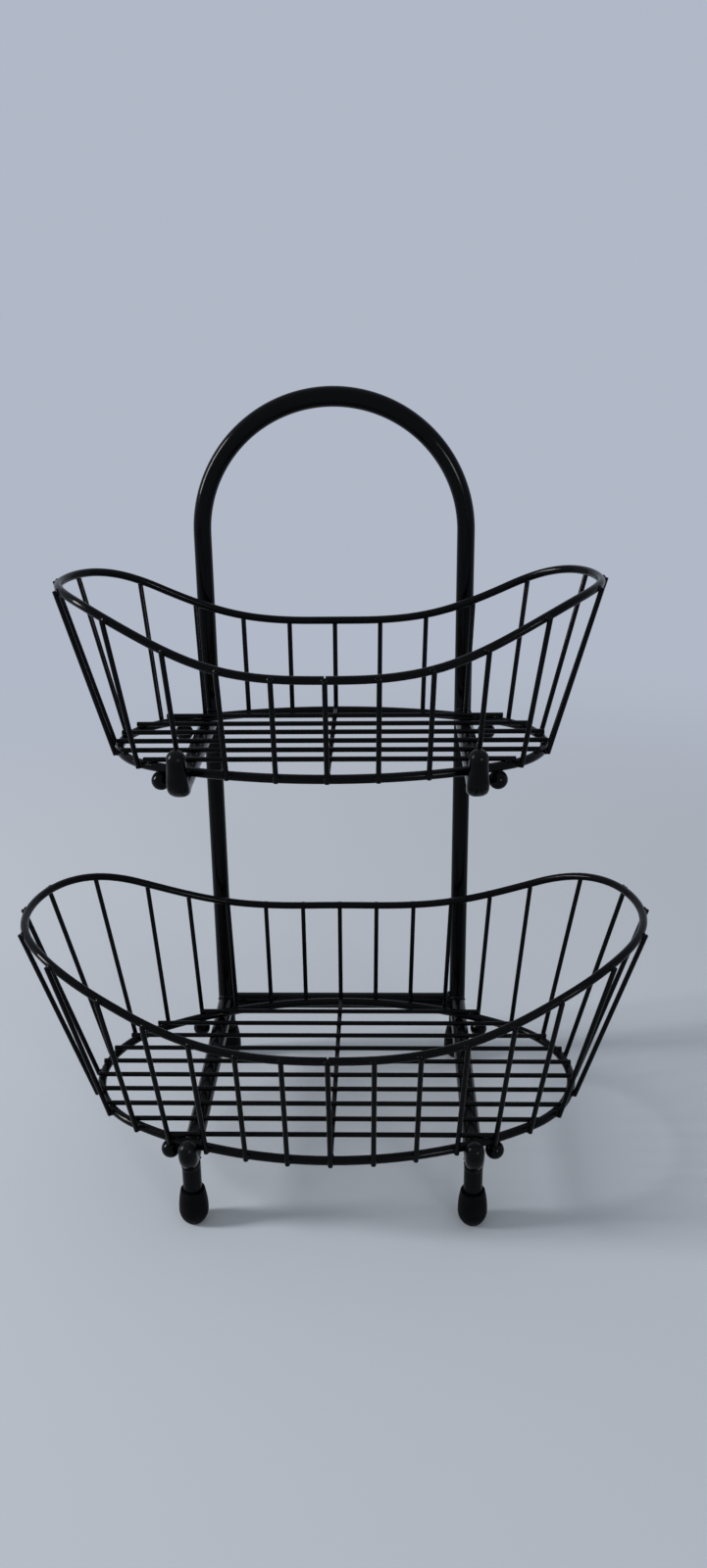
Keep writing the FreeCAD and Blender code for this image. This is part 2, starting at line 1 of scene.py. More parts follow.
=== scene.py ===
# %% [markdown]
# # A two-tier wire basket
# The object is a hooped tube stand with two oval wire baskets that lift off it, all in gloss black.
# Its solids come ready made as a fixed frame, so this lesson adds what bending, welding and painting leave
# on such a thing: upper hooks that are flattened at their bend, an arch that is slightly oval, fillets where
# tubes and wires meet, rounded wire ends, and five finishes.
# Everything is in metres. X runs to the right, Y to the rear and Z up.

# %% Load the fixed frame
from math import cos, pi, radians, sin

import bmesh
import bpy
from mathutils import Matrix, Vector
from mathutils.bvhtree import BVHTree


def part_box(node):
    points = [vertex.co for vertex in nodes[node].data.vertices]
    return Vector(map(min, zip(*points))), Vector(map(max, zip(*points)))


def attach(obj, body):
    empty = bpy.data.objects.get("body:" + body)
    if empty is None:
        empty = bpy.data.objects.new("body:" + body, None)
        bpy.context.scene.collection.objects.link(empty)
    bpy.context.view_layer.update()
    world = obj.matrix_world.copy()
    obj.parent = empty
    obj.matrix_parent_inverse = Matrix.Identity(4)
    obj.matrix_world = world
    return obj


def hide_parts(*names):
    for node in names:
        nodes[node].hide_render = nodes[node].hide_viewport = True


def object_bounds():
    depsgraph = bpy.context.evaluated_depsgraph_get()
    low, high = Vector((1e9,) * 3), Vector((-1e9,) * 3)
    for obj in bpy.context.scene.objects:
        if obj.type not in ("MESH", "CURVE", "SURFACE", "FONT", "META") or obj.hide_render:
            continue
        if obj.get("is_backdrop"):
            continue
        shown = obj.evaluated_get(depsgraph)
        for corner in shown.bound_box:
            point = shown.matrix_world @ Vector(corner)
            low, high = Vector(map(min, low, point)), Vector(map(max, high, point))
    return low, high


MM = 1000  # millimetres in a metre, for what is printed

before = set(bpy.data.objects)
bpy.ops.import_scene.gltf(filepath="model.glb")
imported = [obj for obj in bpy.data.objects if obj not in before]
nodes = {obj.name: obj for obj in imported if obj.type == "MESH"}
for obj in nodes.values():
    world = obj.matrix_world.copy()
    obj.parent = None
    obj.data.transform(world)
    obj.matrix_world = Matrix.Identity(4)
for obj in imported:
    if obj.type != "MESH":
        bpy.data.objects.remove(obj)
solid_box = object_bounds()
print("overall size in mm:", [round(MM * (high - low), 1) for low, high in zip(*solid_box)])

# %% [markdown]
# ## A shorthand for shader nodes
# Every finish below is a small tree of nodes. Adding a node, setting its options and wiring its inputs
# takes several lines each time, so one helper does all three. An input is given by its name or its number,
# and its value is either a plain number or colour, or the output of another node, which makes a link.
# The other helpers put the few kinds of node that come up again and again.

# %% Node helpers
def put(tree, kind, inputs, **options):
    """Adds a node to a tree and gives back its outputs."""
    made = tree.nodes.new(kind)
    for name, value in options.items():
        setattr(made, name, value)
    for key, value in inputs.items():
        if isinstance(value, bpy.types.NodeSocket):
            tree.links.new(value, made.inputs[key])
        else:
            made.inputs[key].default_value = value
    return made.outputs


def times(tree, first, second):
    return put(tree, "ShaderNodeMath", {0: first, 1: second}, operation="MULTIPLY")[0]


def plus(tree, first, second):
    return put(tree, "ShaderNodeMath", {0: first, 1: second}, operation="ADD")[0]


def faded(tree, value, low, high):
    """A value turned into a mask: 0 at low, 1 at high, soft at both ends."""
    limits = {"Value": value, "From Min": low, "From Max": high}
    return put(tree, "ShaderNodeMapRange", limits, interpolation_type="SMOOTHSTEP")[0]


def noise(tree, place, per_metre, detail):
    """Noise with a given number of lumps to the metre."""
    return put(tree, "ShaderNodeTexNoise", {"Vector": place, "Scale": per_metre, "Detail": detail})[0]


def mixed_colour(tree, mask, first, second):
    """The first colour where the mask is 0 and the second where it is 1."""
    return put(tree, "ShaderNodeMix", {0: mask, 6: first, 7: second}, data_type="RGBA")[2]


def bumped(tree, height, strength, depth):
    """A normal for a relief of a given depth."""
    return put(tree, "ShaderNodeBump", {"Height": height, "Strength": strength, "Distance": depth})[0]


print("node helpers ready")

# %% [markdown]
# ## Effects that several finishes share
# Sprayed paint never dries quite flat. It keeps a faint dimple pattern, the orange peel, and dries a
# little duller in some places than in others. Dust settles on whatever faces up, thin and patchy.
# Handling leaves hairline rubs that only dull the gloss. Each effect is one node group with named inputs,
# so that a thin wire, a tube and a rubber foot can have it at their own scale. A group gives out masks
# and heights only. The shader itself stays in the material, where an exporter can read it.

# %% Group maker
def start_group(name, inputs, outputs):
    """A new node group with float sockets; gives back the tree, its inputs and its outputs."""
    group = bpy.data.node_groups.new(name, "ShaderNodeTree")
    for label, value in inputs.items():
        socket = group.interface.new_socket(label, in_out="INPUT", socket_type="NodeSocketFloat")
        socket.default_value = value
    for label in outputs:
        group.interface.new_socket(label, in_out="OUTPUT", socket_type="NodeSocketFloat")
    return group, group.nodes.new("NodeGroupInput").outputs, group.nodes.new("NodeGroupOutput").inputs


# %% Orange peel
peel_group, slider, result = start_group(
    "orange_peel", {"Dimples per metre": 700.0, "Patches per metre": 45.0}, ["Height", "Dull patches"])
place = put(peel_group, "ShaderNodeTexCoord", {})["Object"]
dimples = noise(peel_group, place, slider["Dimples per metre"], detail=1.5)
peel_group.links.new(dimples, result["Height"])
patches = noise(peel_group, place, slider["Patches per metre"], detail=3.0)
peel_group.links.new(faded(peel_group, patches, low=0.4, high=0.68), result["Dull patches"])
print("group:", peel_group.name)

# %% Settled dust
FILM_PER_METRE = 38.0
FILM_SHARE = 0.45

dust_group, slider, result = start_group("settled_dust", {"Specks per metre": 900.0}, ["Dust"])
place = put(dust_group, "ShaderNodeTexCoord", {})["Object"]
normal = put(dust_group, "ShaderNodeNewGeometry", {})["Normal"]
facing_up = put(dust_group, "ShaderNodeSeparateXYZ", {0: normal})["Z"]
lying = faded(dust_group, facing_up, low=0.45, high=0.98)
film = faded(dust_group, noise(dust_group, place, FILM_PER_METRE, detail=2.0), low=0.35, high=0.7)
grit = noise(dust_group, place, slider["Specks per metre"], detail=2.0)
specks = faded(dust_group, grit, low=0.56, high=0.74)
settled = plus(dust_group, times(dust_group, film, FILM_SHARE), specks)
dust_group.links.new(times(dust_group, lying, settled), result["Dust"])
print("group:", dust_group.name)

# %% Hairline rubs
RUB_TURNS = (0.35, 1.25, 2.2)
RUB_TIP_SHARE = 0.6
RUB_STRETCH = (1.0, 14.0, 1.0)

rub_group, slider, result = start_group("hairline_rubs", {"Rubs per metre": 260.0}, ["Rubs"])
place = put(rub_group, "ShaderNodeTexCoord", {})["Object"]
lines = []
for turn in RUB_TURNS:
    rotation = (turn, RUB_TIP_SHARE * turn, turn)
    turned = {"Vector": place, "Rotation": rotation, "Scale": RUB_STRETCH}
    drawn_out = put(rub_group, "ShaderNodeMapping", turned)[0]
    streaks = noise(rub_group, drawn_out, slider["Rubs per metre"], detail=0.0)
    lines.append(faded(rub_group, streaks, low=0.64, high=0.72))
rub_group.links.new(plus(rub_group, plus(rub_group, lines[0], lines[1]), lines[2]), result["Rubs"])
print("group:", rub_group.name)

# %% [markdown]
# ## Gloss black paint
# The tubes are sprayed: a deep black with a hard gloss, on which lamps show as thin bright lines along
# each tube. A single black with one roughness would look like plastic, so the roughness rises a little
# in patches, in rubs and under dust, and the orange peel goes in as a bump of about a hundredth of a
# millimetre. The wires get the same paint, but it pulls together on such a thin round, so it has
# larger waves and dries a bit duller. The balls are turned smooth and shine the most.
# The photograph is exposed for pale surroundings, so in it the paint mirrors the strongest lights and hardly
# anything else. An index of refraction well below that of real paint gives the same depth of black here.

# %% Painted finishes
DUST_GREY = (0.16, 0.155, 0.15, 1.0)
PATCH_DULLING = 0.05
RUB_DULLING = 0.04
DUST_DULLING = 0.9
PEEL_STRENGTH = 0.6
PAINT_IOR = 1.19


def placed(tree, group, values):
    """Places a node group with its own values and gives back its outputs."""
    made = tree.nodes.new("ShaderNodeGroup")
    made.node_tree = group
    for label, value in values.items():
        made.inputs[label].default_value = value
    return made.outputs


def start_finish(name):
    """A new material; gives it back with its tree and the inputs of its shader."""
    material = bpy.data.materials.new(name)
    material.use_nodes = True
    return material, material.node_tree, material.node_tree.nodes["Principled BSDF"].inputs


def gloss_paint(name, black, rough, dimples, wave, dust_share):
    """Paint with orange peel, dull patches, hairline rubs and a little dust."""
    material, tree, shader = start_finish(name)
    peel = placed(tree, peel_group, {"Dimples per metre": dimples})
    dust = times(tree, placed(tree, dust_group, {})["Dust"], dust_share)
    rubs = placed(tree, rub_group, {})["Rubs"]
    tree.links.new(mixed_colour(tree, dust, black, DUST_GREY), shader["Base Color"])
    worn = plus(tree, times(tree, peel["Dull patches"], PATCH_DULLING), times(tree, rubs, RUB_DULLING))
    dulled = plus(tree, plus(tree, worn, times(tree, dust, DUST_DULLING)), rough)
    tree.links.new(dulled, shader["Roughness"])
    tree.links.new(bumped(tree, peel["Height"], PEEL_STRENGTH, wave), shader["Normal"])
    shader["IOR"].default_value = PAINT_IOR
    return material


tube_paint = gloss_paint("tube_gloss_black", black=(0.0011, 0.0011, 0.0013, 1.0), rough=0.12,
                         dimples=650.0, wave=0.000012, dust_share=0.03)
wire_paint = gloss_paint("wire_gloss_black", black=(0.0011, 0.0011, 0.0013, 1.0), rough=0.14,
                         dimples=420.0, wave=0.000015, dust_share=0.03)
ball_paint = gloss_paint("ball_gloss_black", black=(0.0010, 0.0010, 0.0012, 1.0), rough=0.09,
                         dimples=520.0, wave=0.00001, dust_share=0.02)
print("painted finishes:", [material.name for material in (tube_paint, wire_paint, ball_paint)])

# %% [markdown]
# ## Plug plastic and foot rubber
# The domed plugs in the hooks are moulded plastic, a shade softer in gloss than the paint, with the fine
# even grain of the mould. The foot caps are soft rubber: matt black, with a coarser grain, and scuffed paler
# in a band just above the ground, where they are pushed about. That band follows the height above the ground,
# which is the object's own Z.

# %% Plug plastic
PLUG_BLACK = (0.0018, 0.0018, 0.0020, 1.0)
PLUG_DUST_SHARE = 0.08
PLUG_ROUGH = 0.22
PLUG_DULLING = 0.08
PLUG_IOR = 1.21

plug_plastic, tree, shader = start_finish("plug_black_plastic")
grain = placed(tree, peel_group, {"Dimples per metre": 2600.0, "Patches per metre": 120.0})
dust = times(tree, placed(tree, dust_group, {})["Dust"], PLUG_DUST_SHARE)
tree.links.new(mixed_colour(tree, dust, PLUG_BLACK, DUST_GREY), shader["Base Color"])
dulled = plus(tree, times(tree, grain["Dull patches"], PLUG_DULLING), PLUG_ROUGH)
tree.links.new(dulled, shader["Roughness"])
tree.links.new(bumped(tree, grain["Height"], strength=0.5, depth=0.00003), shader["Normal"])
shader["IOR"].default_value = PLUG_IOR
print("moulded finish:", plug_plastic.name)

# %% Foot rubber
RUBBER_BLACK = (0.0012, 0.0012, 0.0014, 1.0)
RUBBER_ROUGH = 0.44
RUBBER_DULLING = 0.12
RUBBER_IOR = 1.14
SCUFF_GREY = (0.07, 0.067, 0.064, 1.0)
SCUFF_TOP = 0.0055
SCUFF_FOOT = 0.0005
SCUFFS_PER_METRE = 700.0
SCUFF_SHARE = 0.35
PALE_PATCH_SHARE = 0.02

foot_rubber, tree, shader = start_finish("foot_black_rubber")
grain = placed(tree, peel_group, {"Dimples per metre": 1800.0, "Patches per metre": 160.0})
place = put(tree, "ShaderNodeTexCoord", {})["Object"]
height = put(tree, "ShaderNodeSeparateXYZ", {0: place})["Z"]
band = faded(tree, height, low=SCUFF_TOP, high=SCUFF_FOOT)
scuffs = faded(tree, noise(tree, place, SCUFFS_PER_METRE, detail=3.0), low=0.4, high=0.65)
scuffed = times(tree, times(tree, band, scuffs), SCUFF_SHARE)
paler = plus(tree, scuffed, times(tree, grain["Dull patches"], PALE_PATCH_SHARE))
tree.links.new(mixed_colour(tree, paler, RUBBER_BLACK, SCUFF_GREY), shader["Base Color"])
dulled = plus(tree, times(tree, grain["Dull patches"], RUBBER_DULLING), RUBBER_ROUGH)
tree.links.new(dulled, shader["Roughness"])
tree.links.new(bumped(tree, grain["Height"], strength=0.7, depth=0.00008), shader["Normal"])
shader["IOR"].default_value = RUBBER_IOR
print("moulded finish:", foot_rubber.name)

# %% [markdown]
# ## Painting the frame
# Each solid already knows its record's finish by the material it came with, so a dictionary from that name
# to the new material paints all of them, and the shape of every solid stays as it is.

# %% Paint every solid
FINISHES = {"stand_paint": tube_paint, "wire_paint": wire_paint, "ball_paint": ball_paint,
            "plug_plastic": plug_plastic, "foot_rubber": foot_rubber}
painted = dict.fromkeys(FINISHES, 0)
for solid in nodes.values():
    slot = solid.material_slots[0]
    finish_name = slot.material.name.split(".")[0]
    slot.material = FINISHES[finish_name]
    painted[finish_name] += 1
print("solids painted:", painted)

# %% [markdown]
# ## Hooks with a flattened bend
# The upper arms are tubes that run forwards under the basket and turn up into a hook. A thin tube that is
# bent so tightly, with nothing inside it, gives way: its outside is drawn in and its sides spread, so from
# the front the hook looks wider and flatter at the bottom than at its end. The frame's arms are round all
# along, so two flattened ones stand for them. A curve with a bevel would keep its section round as well.
# So a circle is drawn out along the arm, spun through the bend and drawn up the hook, and then every point
# near the bend is moved to where the tube's wall went.
# The sizes are measured on the frame. The front leg stands where the lower arm's bend begins, so the arm's
# reach past the leg gives the radius of the bend.

# %% Tube and bend, measured on the frame
low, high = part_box("front_leg_left")
TUBE = (high.x - low.x) / 2
leg_y = (low.y + high.y) / 2
BEND = leg_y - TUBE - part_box("lower_arm_left")[0].y
hoop_low, hoop_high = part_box("handle_tube")
upright_y = (hoop_low.y + hoop_high.y) / 2
print("tube and bend radius in mm:", round(MM * TUBE, 2), round(MM * BEND, 2))

# %% Draw out and close a tube
def draw_out(shape, mouth, way, steps):
    """Lengthens a tube at one open end, in equal steps, and gives back the edges of the new end."""
    for _ in range(steps):
        made = bmesh.ops.extrude_edge_only(shape, edges=mouth)["geom"]
        points = [item for item in made if isinstance(item, bmesh.types.BMVert)]
        bmesh.ops.translate(shape, verts=points, vec=way / steps)
        mouth = [edge for edge in made if isinstance(edge, bmesh.types.BMEdge)
                 and all(point in points for point in edge.verts)]
    return mouth


def spin_on(shape, mouth, centre, axis, angle, steps):
    """Carries a tube on round a bend and gives back the edges of the new end."""
    rounds = {point for edge in mouth for point in edge.verts}
    spun = bmesh.ops.spin(shape, geom=[*rounds, *mouth], cent=centre, axis=axis, angle=angle, steps=steps)
    return [item for item in spun["geom_last"] if isinstance(item, bmesh.types.BMEdge)]


def close_ends(shape):
    """Puts a flat face with a sharp edge on each open end of a tube."""
    ends = bmesh.ops.holes_fill(shape, edges=[edge for edge in shape.edges if edge.is_boundary])["faces"]
    bmesh.ops.recalc_face_normals(shape, faces=shape.faces)
    for edge in {edge for end in ends for edge in end.edges}:
        edge.smooth = False


# %% Let the bend give way
GIVE_REACH = 0.014  # from the middle of the bend, along the tube, to where it is round again
DRAWN_IN_SHARE = 0.28
SPREAD_SHARE = 0.15


def give_way(point, corner):
    """Moves a point of a round tube to where it lies after bending; corner is the centre of the bend."""
    offset = point.co - corner
    out = Vector((0, min(0, offset.y), min(0, offset.z))).normalized()
    along = BEND * out.angle(Vector((0, -1, -1))) + max(0, offset.y, offset.z)
    give = (1 + cos(pi * min(1, along / GIVE_REACH))) / 2
    outside = max(0, offset.dot(out) - BEND)
    point.co -= out * (DRAWN_IN_SHARE * give * outside ** 2 / TUBE)
    point.co.x += SPREAD_SHARE * give * offset.x


def finish_piece(shape, name, body, material):
    """Turns a bmesh into a smooth piece that rides on a body."""
    mesh = bpy.data.meshes.new(name)
    shape.to_mesh(mesh)
    shape.free()
    mesh.polygons.foreach_set("use_smooth", [True] * len(mesh.polygons))
    piece = bpy.data.objects.new(name, mesh)
    bpy.context.scene.collection.objects.link(piece)
    piece.data.materials.append(material)
    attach(piece, body)
    return piece


# %% Both upper arms
SECTION_SIDES = 40
STRAIGHT_STEPS = 6
BEND_STEPS = 14


def bent_arm(name):
    """A closed tube from the middle of its upright to the end of its hook, flattened at the bend."""
    low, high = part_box(name)
    start = Vector(((low.x + high.x) / 2, upright_y, low.z + TUBE))
    corner = Vector((start.x, low.y + TUBE + BEND, start.z + BEND))
    shape = bmesh.new()
    section = Matrix.Translation(start) @ Matrix.Rotation(pi / 2, 4, "X")
    bmesh.ops.create_circle(shape, segments=SECTION_SIDES, radius=TUBE, matrix=section)
    mouth = draw_out(shape, shape.edges[:], Vector((0, corner.y + GIVE_REACH - start.y, 0)), 1)
    mouth = draw_out(shape, mouth, Vector((0, -GIVE_REACH, 0)), STRAIGHT_STEPS)
    mouth = spin_on(shape, mouth, corner, (1, 0, 0), -pi / 2, BEND_STEPS)
    draw_out(shape, mouth, Vector((0, 0, high.z - corner.z)), STRAIGHT_STEPS)
    for point in shape.verts:
        give_way(point, corner)
    close_ends(shape)
    return shape


for arm in ("upper_arm_left", "upper_arm_right"):
    piece = finish_piece(bent_arm(arm), f"{arm}_flattened", "stand", tube_paint)
    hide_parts(arm)
    print(piece.name, len(piece.data.polygons), "faces")

# %% [markdown]
# ## An arch that is slightly oval
# The hoop is rolled to its wide curve between grooved wheels, which pinch the tube from both sides, so over
# the arch it ends up a little deeper than it is wide. In the photograph the outside of the arch is a clean
# half circle and the extra depth lies on its inside, most of it at the top. The frame's hoop is round all
# the way, so an oval one stands for it, made like the arms: a circle drawn up, spun over and drawn down.

# %% The hoop with an oval arch
ARCH_STEPS = 72
DEEPER_SHARE = 0.10
arch_radius = (hoop_high.x - hoop_low.x) / 2 - TUBE
arch_centre = Vector(((hoop_low.x + hoop_high.x) / 2, upright_y, hoop_high.z - TUBE - arch_radius))


def deepen(point):
    """Moves a point on the inside of the arch further in, most of all at the top."""
    out = Vector((point.co.x - arch_centre.x, 0, point.co.z - arch_centre.z))
    if out.z <= 0:
        return
    inside = arch_radius + TUBE - out.length
    steepness = out.z / out.length
    point.co -= out.normalized() * (DEEPER_SHARE * steepness ** 2 * inside)


def oval_hoop():
    """Both uprights and the arch as one closed tube."""
    foot = Vector((hoop_low.x + TUBE, upright_y, hoop_low.z))
    rise = Vector((0, 0, arch_centre.z - foot.z))
    shape = bmesh.new()
    bmesh.ops.create_circle(shape, segments=SECTION_SIDES, radius=TUBE, matrix=Matrix.Translation(foot))
    mouth = draw_out(shape, shape.edges[:], rise, 1)
    mouth = spin_on(shape, mouth, arch_centre, (0, 1, 0), pi, ARCH_STEPS)
    draw_out(shape, mouth, -rise, 1)
    for point in shape.verts:
        deepen(point)
    close_ends(shape)
    return shape


hoop = finish_piece(oval_hoop(), "handle_tube_oval", "stand", tube_paint)
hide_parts("handle_tube")
print(hoop.name, len(hoop.data.polygons), "faces")

# %% [markdown]
# ## Welds of the stand
# Where one tube runs square into another of the same width, the welder lays a run in each of the two
# corners, and the run thins out towards the sides, where both tubes are flush. Such a run is a row of
# small overlapping puddles. It could be a tube along a curve, but that has no ripple. So each puddle is a
# flattened ball, and a voxel remesh then melts the row into one skin, as the paint does.

# %% A ball to stamp
BALL_SEGMENTS = 10
BALL_RINGS = 6

unit_ball = bpy.data.meshes.new("unit_ball")
shape = bmesh.new()
bmesh.ops.create_uvsphere(shape, u_segments=BALL_SEGMENTS, v_segments=BALL_RINGS, radius=1.0)
shape.to_mesh(unit_ball)
shape.free()


def ball_at(shape, centre, turn, radii):
    """Stamps one ball into a bmesh, stretched to three radii, turned and moved to its place."""
    stamp = unit_ball.copy()
    stamp.transform(Matrix.Translation(centre) @ turn.to_4x4() @ Matrix.Diagonal((*radii, 1.0)))
    shape.from_mesh(stamp)
    bpy.data.meshes.remove(stamp)


print("ball to stamp:", len(unit_ball.polygons), "faces")

# %% Weld runs between tubes
RUN_STEPS = 15
RUN_START = radians(22)
STITCH = 0.0010
BEAD_AT_ENDS = 0.0003
BEAD_SWELL = 0.0013


def weld_joint(shape, corner, main, branch):
    """Both weld runs of a branch tube that meets a main tube square on; their axes cross at corner."""
    across = branch.cross(main)
    for side in (-1, 1):
        for step in range(RUN_STEPS):
            turn = RUN_START + (pi - 2 * RUN_START) * step / (RUN_STEPS - 1)
            spot = corner + TUBE * (cos(turn) * across + sin(turn) * (side * main + branch))
            along = (cos(turn) * (side * main + branch) - sin(turn) * across).normalized()
            bead = BEAD_AT_ENDS + BEAD_SWELL * sin(turn)
            ball_at(shape, spot, along.to_track_quat("Z", "Y").to_matrix(), (bead, bead, STITCH))


# %% [markdown]
# An arm meets each upright at both heights. The cross bar meets the upright, and the leg meets the arm, at
# the height of the lower arm only.

# %% Lay the runs
TIERS = ("upper", "lower")
MELT_VOXEL = 0.0003
EVEN_ROUNDS = 3
BACKWARD = Vector((0, 1, 0))
UPWARD = Vector((0, 0, 1))

welds = bmesh.new()
for side_name, upright_x, inward in (("left", hoop_low.x + TUBE, 1), ("right", hoop_high.x - TUBE, -1)):
    for tier in TIERS:
        arm_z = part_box(f"{tier}_arm_{side_name}")[0].z + TUBE
        weld_joint(welds, Vector((upright_x, upright_y, arm_z)), UPWARD, -BACKWARD)
    # the lower tier comes last, so arm_z is now the lower arm's
    weld_joint(welds, Vector((upright_x, upright_y, arm_z)), UPWARD, Vector((inward, 0, 0)))
    weld_joint(welds, Vector((upright_x, leg_y, arm_z)), BACKWARD, -UPWARD)
stand_welds = finish_piece(welds, "stand_welds", "stand", tube_paint)
melt = stand_welds.modifiers.new("melt", "REMESH")
melt.mode = "VOXEL"
melt.voxel_size = MELT_VOXEL
melt.use_smooth_shade = True
even = stand_welds.modifiers.new("even", "SMOOTH")
even.iterations = EVEN_ROUNDS
print(stand_welds.name, len(stand_welds.data.polygons), "faces before they melt")

# %% [markdown]
# ## Welds of the baskets
# Each spoke is pressed against the outside of the base ring and of the rim while a current melts the spot,
# and the floor wires are welded down on the ring in the same way. A little metal squeezes out on both sides,
# and the paint fills what is left of the corner. A flattened ball in each corner gives that fillet.
# The places needn't be typed in: each straight wire of the frame ends in a flat round face, so a copy of its
# mesh with its triangles merged has only two faces with many corners, and they say where it ends.

# %% Find the wire ends
SAME_PLACE = 1e-6
FLAT_WITHIN = radians(1)
MOST_SIDE_CORNERS = 12


def wire_ends(node):
    """Centre and outward direction of the flat ends of all straight wires in a node."""
    copy = bmesh.new()
    copy.from_mesh(nodes[node].data)
    bmesh.ops.remove_doubles(copy, verts=copy.verts, dist=SAME_PLACE)
    bmesh.ops.dissolve_limit(copy, angle_limit=FLAT_WITHIN, verts=copy.verts, edges=copy.edges)
    found = [(face.calc_center_median(), face.normal.copy())
             for face in copy.faces if len(face.verts) > MOST_SIDE_CORNERS]
    copy.free()
    return found


QUARTERS = ("front", "right", "rear", "left")
spoke_ends = {tier: [end for quarter in QUARTERS for end in wire_ends(f"{tier}_spokes_{quarter}")]
              for tier in TIERS}
floor_wires = {tier: sorted(name for name in nodes if name.startswith(f"{tier}_floor_wire_"))
               for tier in TIERS}
print("spoke ends:", {tier: len(ends) for tier, ends in spoke_ends.items()})
print("floor wires:", {tier: len(names) for tier, names in floor_wires.items()})

# %% [markdown]
# A spoke leans outwards along the ring's own normal, so the flat part of its direction tells which way is
# out. The fillet sits between spoke and ring, a spoke's radius further in, and is widest along the ring.
# The cut end itself gets a low dome, because paint draws back from a sharp edge and rounds it.

# %% Fillets of the spokes
low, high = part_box("upper_floor_wire_1")
THIN = (high.z - low.z) / 2
low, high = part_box("upper_base_ring")
RING = (high.z - low.z) / 2
RIM = 0.00225  # half the rim wire's thickness, which its box doesn't show, because the rim rises and falls
FOOT_SHARE = 0.5
HEAD_SHARE = 0.1
INWARD_SHARE = 0.85
SPOKE_FILLET_SHARES = (0.8, 1.75, 0.78)
DOME_SHARE = 0.18


def dome_end(shape, end, way):
    """The low dome on the cut end of a thin wire."""
    ball_at(shape, end, way.to_track_quat("Z", "Y").to_matrix(), (THIN, THIN, DOME_SHARE * THIN))


def weld_spoke(shape, end, way):
    """The fillet and the domed end where a spoke meets the ring below or the rim above."""
    rising = way if way.z > 0 else -way
    out = Vector((rising.x, rising.y, 0)).normalized()
    thick, past = (RIM, HEAD_SHARE) if way.z > 0 else (RING, FOOT_SHARE)
    turn = Matrix((out, UPWARD.cross(out), UPWARD)).transposed()
    centre = end - way * (past * thick) - out * (INWARD_SHARE * THIN)
    deep, wide, tall = SPOKE_FILLET_SHARES
    ball_at(shape, centre, turn, (deep * THIN, wide * THIN, tall * thick))
    dome_end(shape, end, way)


print("half the thickness of thin wire and ring in mm:", round(MM * THIN, 2), round(MM * RING, 2))

# %% [markdown]
# A floor wire lies on top of the ring and crosses it at a slant near the front and the rear, so the place of
# its weld is where the ring is highest under it. Dropping rays from the wire finds that place.

# %% Fillets of the floor
SQUARE = Matrix.Identity(3)
PROBE = 0.0004
PROBES = 60
RING_FILLET_SHARES = (1.5, 1.7, 0.75)
CROSSING_SHARES = (1.5, 1.5, 0.6)
CENTRE_FILLET_SHARES = (1.4, 0.8, 1.35)
CENTRE_INWARD_SHARE = 0.9
NECK_SHARE = 0.95
NECK_RISE = 0.0008


def square_fillet(shape, centre, shares):
    """A fillet that lies square to the axes, with its radii in shares of the thin wire's."""
    ball_at(shape, centre, SQUARE, [share * THIN for share in shares])


def weld_floor_wire(shape, ring_skin, end, way):
    """The fillet under one end of a floor wire, where it crosses the ring, and the wire's domed end."""
    hits = [ring_skin.ray_cast(end - way * (PROBE * step), -UPWARD)[0] for step in range(PROBES)]
    top = max((hit for hit in hits if hit), key=lambda hit: hit.z)
    square_fillet(shape, top, RING_FILLET_SHARES)
    dome_end(shape, end, way)


def weld_ball(shape, name):
    """The fillet round the top of a ball, where it hangs on the ring."""
    ball_low, ball_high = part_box(name)
    neck = (ball_low + ball_high) / 2
    neck.z = ball_high.z
    ball_at(shape, neck, SQUARE, (NECK_SHARE * RING, NECK_SHARE * RING, NECK_RISE))


# %% All fillets of a basket
def weld_basket(tier):
    """All fillets of one basket as one bmesh."""
    shape = bmesh.new()
    ring_skin = BVHTree.FromObject(nodes[f"{tier}_base_ring"], bpy.context.evaluated_depsgraph_get())
    for end, way in spoke_ends[tier]:
        weld_spoke(shape, end, way)
    centre_low, centre_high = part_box(f"{tier}_centre_wire")
    for name in floor_wires[tier]:
        for end, way in wire_ends(name):
            weld_floor_wire(shape, ring_skin, end, way)
        square_fillet(shape, Vector((0, end.y, centre_high.z)), CROSSING_SHARES)
    for end, way in wire_ends(f"{tier}_centre_wire"):
        square_fillet(shape, end - way * (CENTRE_INWARD_SHARE * THIN), CENTRE_FILLET_SHARES)
    for name in nodes:
        if name.startswith(f"{tier}_ball_foot"):
            weld_ball(shape, name)
    return shape


for tier in TIERS:
    fillets = weld_basket(tier)
    piece = finish_piece(fillets, f"{tier}_basket_welds", f"{tier}_basket", wire_paint)
    print(piece.name, len(piece.data.polygons), "faces")

# %% [markdown]
# ## The camera
# The photograph looks slightly down on the basket from a little to the right of its middle. These values
# come from fitting a camera to the stand's uprights, arch and feet in the picture, taken as 721 x 1600.
# Blender counts the sensor along the longer side of the picture, so the lens follows from the height.

# %% Camera at the photograph's angle
LONG_SIDE_PX = 1600
FOCAL_PX = 1292.9
SENSOR_MM = 36.0
EYE_PLACE = (0.0301, -0.6604, 0.4763)
DOWN = radians(20.21)
ASIDE = radians(1.54)
TILT = radians(-0.68)

eye = bpy.data.cameras.new("photo_camera")
eye.sensor_width = SENSOR_MM
eye.lens = FOCAL_PX / LONG_SIDE_PX * SENSOR_MM
camera = bpy.data.objects.new("photo_camera", eye)
bpy.context.scene.collection.objects.link(camera)
aim = Matrix.Rotation(ASIDE, 4, "Z") @ Matrix.Rotation(pi / 2 - DOWN, 4, "X") @ Matrix.Rotation(TILT, 4, "Z")
camera.matrix_world = Matrix.Translation(EYE_PLACE) @ aim
bpy.context.scene.camera = camera
print("lens:", round(eye.lens, 2), "mm")

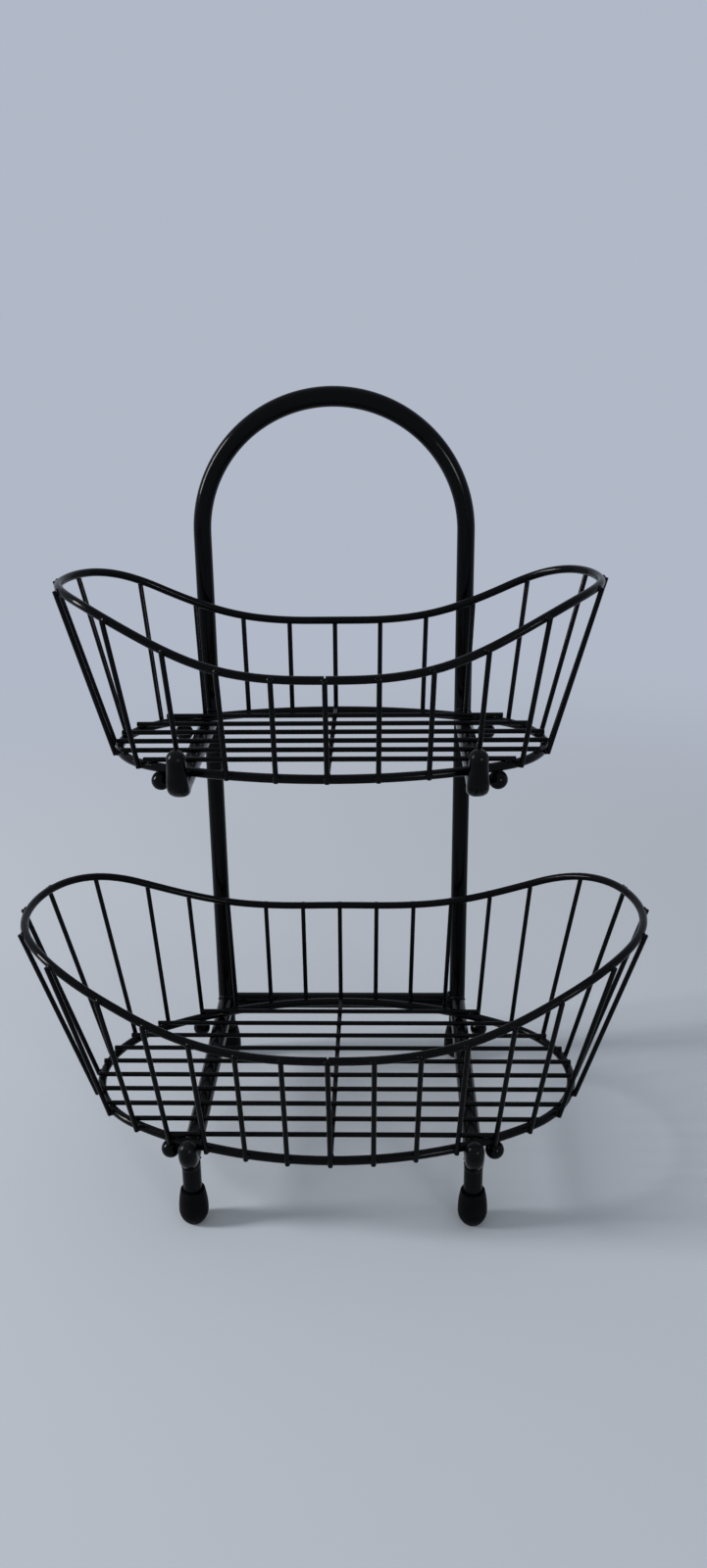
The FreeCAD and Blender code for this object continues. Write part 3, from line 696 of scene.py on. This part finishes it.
# %% [markdown]
# ## Floor and light
# The floor is a wide, matt, pale disc that fades into a background of the same tone, so no horizon cuts
# through the picture. In the photograph a light on the left draws one thin bright line along the left
# shoulder of the arch, and a weaker one in front on the right draws a shorter line. Where such a line lies
# on a round tube tells the direction of its light: the mirror of the line of sight at that place. So a tall
# narrow lamp stands on the left and a weaker one in front on the right, and a weak light from all round,
# which only matt surfaces get, fills the shadows.

# %% Pale floor
PALE = (0.44, 0.48, 0.57, 1.0)
FLOOR_TONE = (0.52, 0.55, 0.60, 1.0)
FLOOR_ROUGH = 0.9
FLOOR_RADIUS = 8.0
FLOOR_SIDES = 96
FADE_START = 0.4
FADE_END = 1.2

shape = bmesh.new()
bmesh.ops.create_circle(shape, cap_ends=True, segments=FLOOR_SIDES, radius=FLOOR_RADIUS)
mesh = bpy.data.meshes.new("floor")
shape.to_mesh(mesh)
shape.free()
floor = bpy.data.objects.new("floor", mesh)
bpy.context.scene.collection.objects.link(floor)
floor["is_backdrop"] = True
floor_paint, tree, shader = start_finish("pale_floor")
shader["Base Color"].default_value = FLOOR_TONE
shader["Roughness"].default_value = FLOOR_ROUGH
shader["Specular IOR Level"].default_value = 0.0
place = put(tree, "ShaderNodeTexCoord", {})["Object"]
reach = put(tree, "ShaderNodeVectorMath", {0: place}, operation="LENGTH")["Value"]
glow = put(tree, "ShaderNodeEmission", {"Color": PALE, "Strength": 1.0})[0]
lit = tree.nodes["Principled BSDF"].outputs[0]
fading = put(tree, "ShaderNodeMixShader", {0: faded(tree, reach, FADE_START, FADE_END), 1: lit, 2: glow})[0]
tree.links.new(fading, tree.nodes["Material Output"].inputs["Surface"])
floor.data.materials.append(floor_paint)
print("floor:", floor_paint.name)

# %% Background
FILL_TINT = (0.90, 0.95, 1.0, 1.0)
FILL_STRENGTH = 0.5

world = bpy.data.worlds.new("studio")
world.use_nodes = True
bpy.context.scene.world = world
tree = world.node_tree
backdrop = tree.nodes["Background"]
backdrop.inputs["Color"].default_value = PALE
seen = put(tree, "ShaderNodeLightPath", {})
shown = plus(tree, plus(tree, seen["Is Camera Ray"], seen["Is Glossy Ray"]), seen["Is Transmission Ray"])
fill = put(tree, "ShaderNodeBackground", {"Color": FILL_TINT, "Strength": FILL_STRENGTH})[0]
mixed = put(tree, "ShaderNodeMixShader", {0: shown, 1: fill, 2: backdrop.outputs[0]})[0]
tree.links.new(mixed, tree.nodes["World Output"].inputs["Surface"])
bpy.context.scene.view_settings.view_transform = "Standard"
print("world:", world.name)

# %% Lamps
def lamp(name, place, target, width, height, watts):
    """A rectangular soft lamp that looks at a point."""
    light = bpy.data.lights.new(name, "AREA")
    light.shape = "RECTANGLE"
    light.size = width
    light.size_y = height
    light.energy = watts
    holder = bpy.data.objects.new(name, light)
    bpy.context.scene.collection.objects.link(holder)
    look = (Vector(target) - Vector(place)).to_track_quat("-Z", "Y").to_matrix().to_4x4()
    holder.matrix_world = Matrix.Translation(place) @ look


lamp("left_window", place=(-2.7, -0.27, 1.4), target=(0, 0, 0.3), width=0.54, height=1.3, watts=78.0)
lamp("front_window", place=(1.53, -2.56, 0.8), target=(0, 0.05, 0.3), width=0.45, height=0.4, watts=14.0)

# %% Compare the boxes and finish
shown_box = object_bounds()
growth = [[round(MM * (b - a), 2) for a, b in zip(*pair)] for pair in zip(solid_box, shown_box)]
print("growth in mm:", growth)
